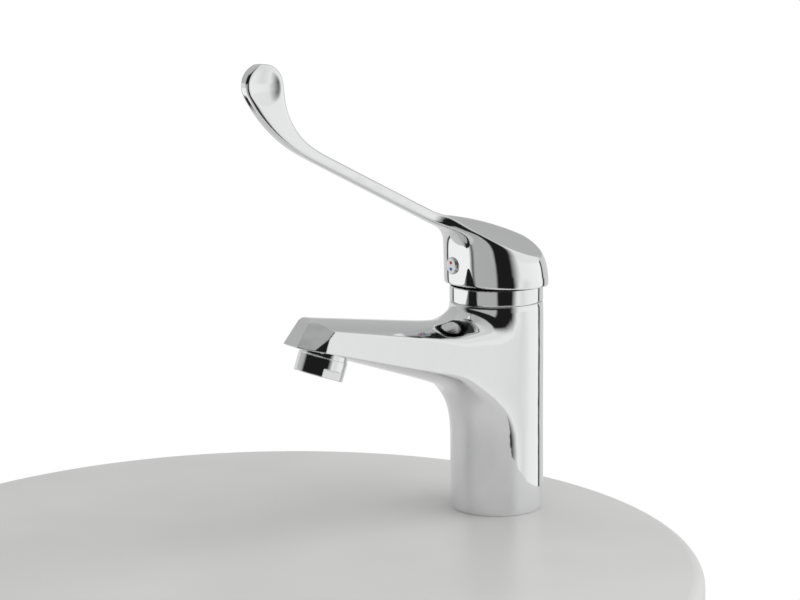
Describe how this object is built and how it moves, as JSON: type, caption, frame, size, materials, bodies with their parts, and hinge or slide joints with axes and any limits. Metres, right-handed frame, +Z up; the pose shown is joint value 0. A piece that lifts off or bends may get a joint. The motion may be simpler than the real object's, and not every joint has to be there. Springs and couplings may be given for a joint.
{
  "type": "elbow lever tap",
  "caption": "Single-lever basin mixer tap with a round column, a wedge spout with an aerator, and a long thin elbow lever that rises forward to a dimpled round end.",
  "frame": {"origin": "centre of the foot, in the plane where it rests on the basin", "axes": "+Z up along the column, -Y towards the user along the spout and the arm, +X to the right seen from behind the tap, which is the left seen by the user"},
  "size_m": [0.054, 0.1701, 0.2772],
  "materials": {
    "chrome": "polished chrome plate",
    "brass": "turned",
    "steel": "zinc or stainless, plain",
    "black_rubber": "moulded",
    "white_plastic": "moulded",
    "grey_plastic": "moulded",
    "ceramic": "lapped",
    "button_plastic": "metallised gloss",
    "red_paint": "gloss",
    "blue_paint": "gloss"
  },
  "bodies": {
    "tap_body": {"body": "chrome", "base_gasket": "black_rubber", "fixing_stud": "steel", "horseshoe_gasket": "black_rubber", "horseshoe_plate": "steel", "fixing_nut": "brass", "aerator_housing": "chrome", "aerator_washer": "black_rubber", "aerator_insert": "white_plastic", "mesh_screen": "steel", "flow_straightener": "grey_plastic", "cartridge_base": "white_plastic", "port_seals": "black_rubber", "cartridge_housing": "white_plastic", "fixed_ceramic_disc": "ceramic", "guide_seal": "black_rubber", "retaining_nut": "brass", "trim_collar": "chrome"},
    "swivel": {"spindle_guide": "grey_plastic", "pivot_pin": "steel"},
    "lever": {"lever_handle": "chrome", "lever_spindle": "brass", "set_screw": "steel", "indicator_button": "button_plastic", "hot_mark": "red_paint", "cold_mark": "blue_paint"},
    "discs": {"disc_carrier": "grey_plastic", "moving_ceramic_disc": "ceramic"}
  },
  "joints": [
    {"name": "swivel_joint", "type": "hinge", "parent": "tap_body", "child": "swivel", "pos_m": [0, 0, 0.102], "axis": [0, 0, 1], "range_deg": [-50, 50]},
    {"name": "lift_joint", "type": "hinge", "parent": "swivel", "child": "lever", "pos_m": [0, 0, 0.102], "axis": [-1, 0, 0], "range_deg": [0, 22]},
    {"name": "disc_slide", "type": "slide", "parent": "swivel", "child": "discs", "axis": [0, -1, 0], "range_m": [0, 0.0029]}
  ],
  "couplings": [
    {"joint": "disc_slide", "follows": "lift_joint", "m_per_rad": 0.0075}
  ]
}
